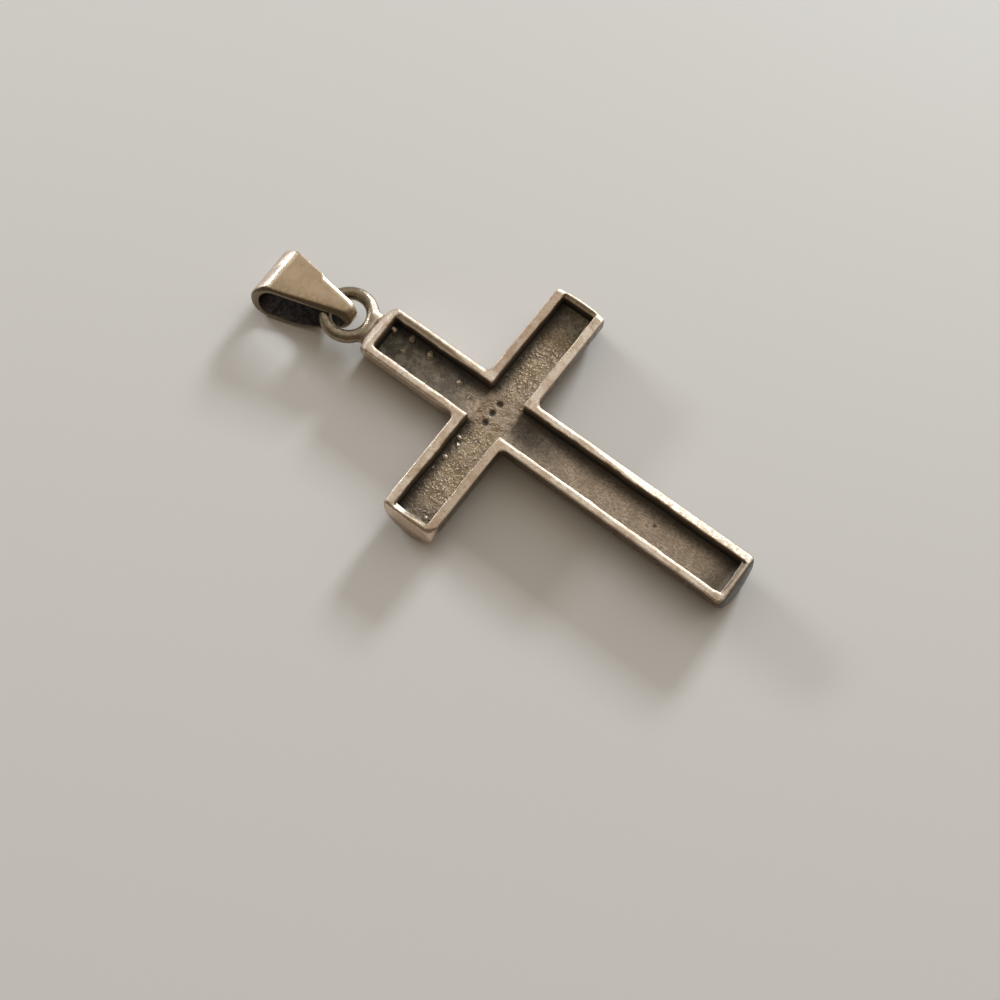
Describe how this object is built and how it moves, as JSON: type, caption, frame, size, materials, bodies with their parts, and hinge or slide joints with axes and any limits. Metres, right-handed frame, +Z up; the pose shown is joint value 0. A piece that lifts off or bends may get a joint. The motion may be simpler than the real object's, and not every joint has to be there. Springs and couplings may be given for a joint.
{
  "type": "cross pendant",
  "caption": "Plain cast silver cross pendant with a hollow, darkened back, a soldered eye ring and a tapered bail for a chain, lying with its back up.",
  "frame": {"origin": "on the surface that the pendant lies on, under the middle of its box", "axes": "+Y along the long bar towards the bail, +Z up through the hollow back, away from the domed front, +X towards the right arm as seen from the back with the bail up"},
  "size_m": [0.0204, 0.0402, 0.0028],
  "materials": {
    "darkened_silver": "cast silver, warm worn polish on the rims and sides, dark grey-brown patina in the hollow back",
    "polished_silver": "warm polished silver with fine scratches, darker inside the loop"
  },
  "bodies": {
    "root": {"cross": "darkened_silver", "bail": "polished_silver"}
  },
  "joints": []
}
